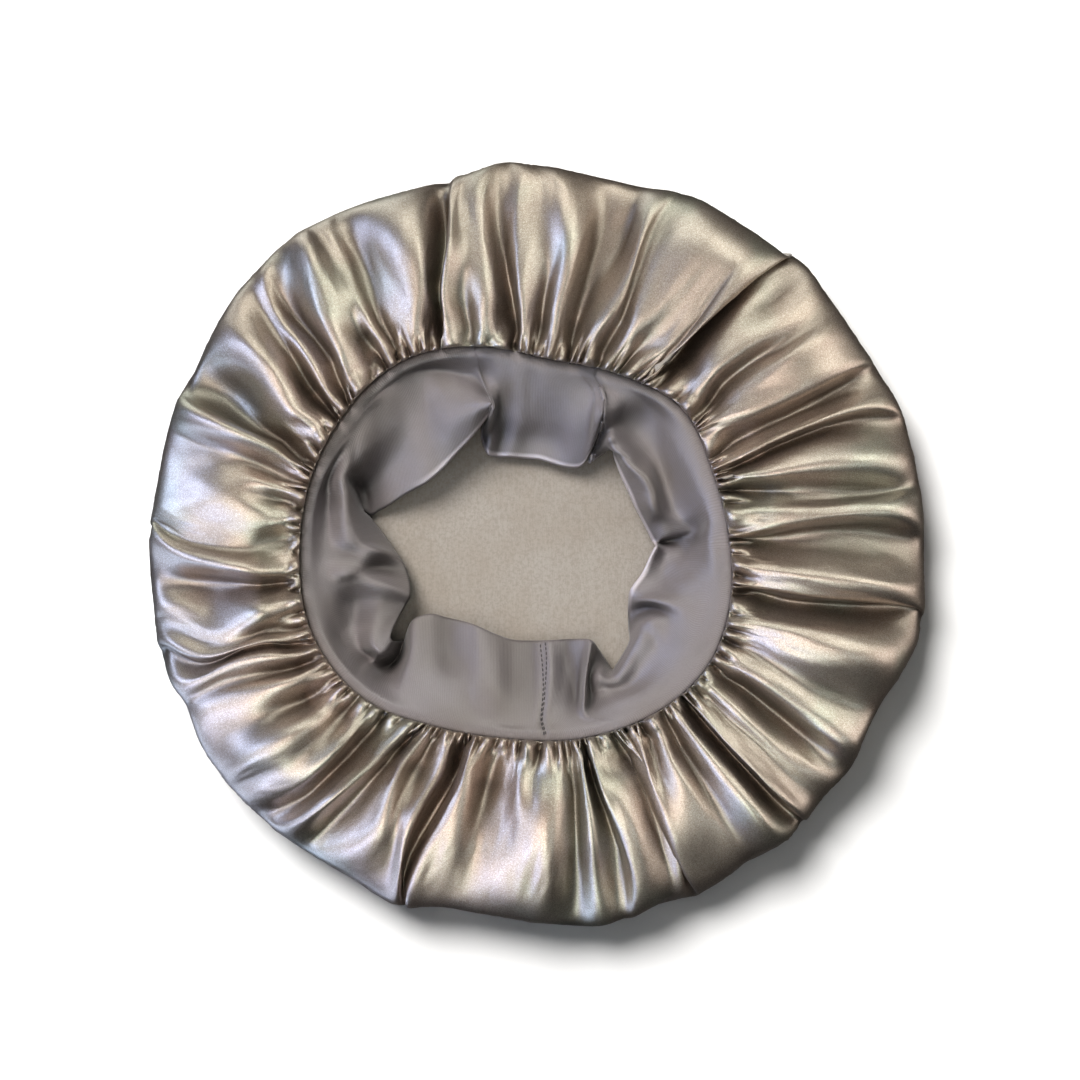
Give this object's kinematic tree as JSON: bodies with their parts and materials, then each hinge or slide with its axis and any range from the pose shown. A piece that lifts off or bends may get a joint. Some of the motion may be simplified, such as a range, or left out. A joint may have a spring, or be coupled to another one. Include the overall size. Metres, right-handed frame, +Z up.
{
  "type": "satin sleep bonnet",
  "caption": "Round satin sleep bonnet lying crown down, its gathered puffs sewn to a wide jersey band that is turned into the open mouth.",
  "frame": {"origin": "bottom centre of the bounding box, on the surface that the bonnet lies on", "axes": "+Z up, out of the open mouth; +X to the right and +Y away, as the picture shows it from straight above"},
  "size_m": [0.3336, 0.3268, 0.0467],
  "materials": {
    "satin": "lustrous satin weave, champagne taupe",
    "jersey": "matte fine-ribbed stretch jersey, mauve grey"
  },
  "bodies": {
    "root": {"satin_bag": "satin", "stretch_band": "jersey"}
  },
  "joints": []
}
